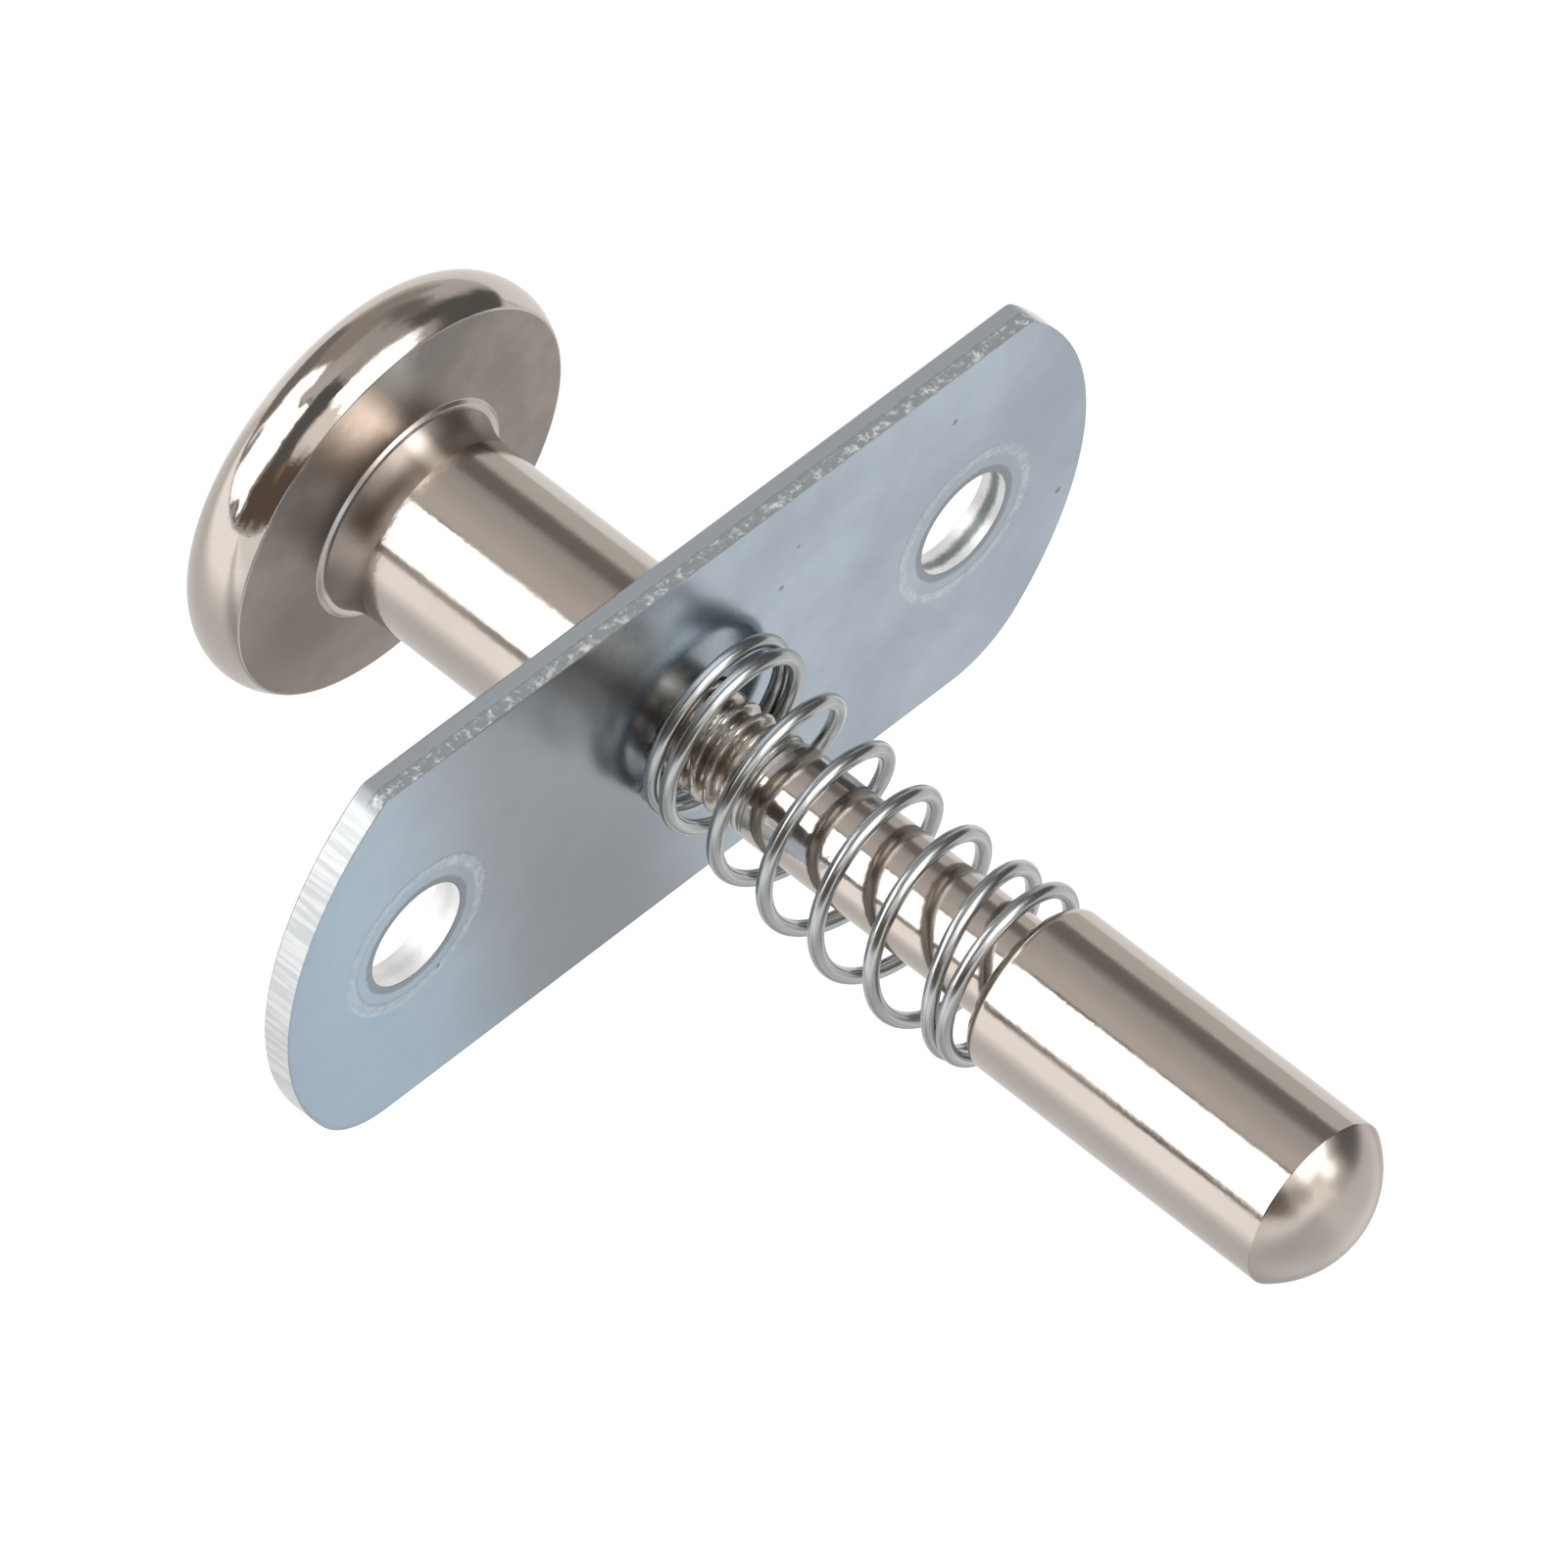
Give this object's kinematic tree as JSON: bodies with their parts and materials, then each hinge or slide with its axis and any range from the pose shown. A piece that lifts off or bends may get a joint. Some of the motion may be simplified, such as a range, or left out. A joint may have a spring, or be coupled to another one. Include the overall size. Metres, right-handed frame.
{
  "type": "spring-loaded latch pin",
  "caption": "Spring-loaded latch pin: a knob pulls a round-nosed pin back through a flat flange plate with bowed ends and mounting holes; a coil spring on the rod returns it.",
  "frame": {"origin": "pin axis at the plate's front face, midway between the mounting holes", "axes": "+Y along the pin axis towards the knob, +X along the plate's length, +Z across the plate"},
  "size_m": [0.06, 0.0743, 0.0264],
  "materials": {
    "plate": "bright zinc-plated sheet steel",
    "spring": "drawn spring steel wire, plated",
    "pin": "polished nickel-plated steel",
    "knob": "polished nickel-plated steel"
  },
  "bodies": {
    "base": {"plate": "plate", "spring": "spring"},
    "plunger": {"pin": "pin", "knob": "knob"}
  },
  "joints": [
    {"name": "pull", "type": "slide", "parent": "base", "child": "plunger", "axis": [0, 1, 0], "range_m": [0, 0.016], "stiffness_N_per_m": 1170, "springref_m": -0.008, "deforming": ["spring"]}
  ]
}
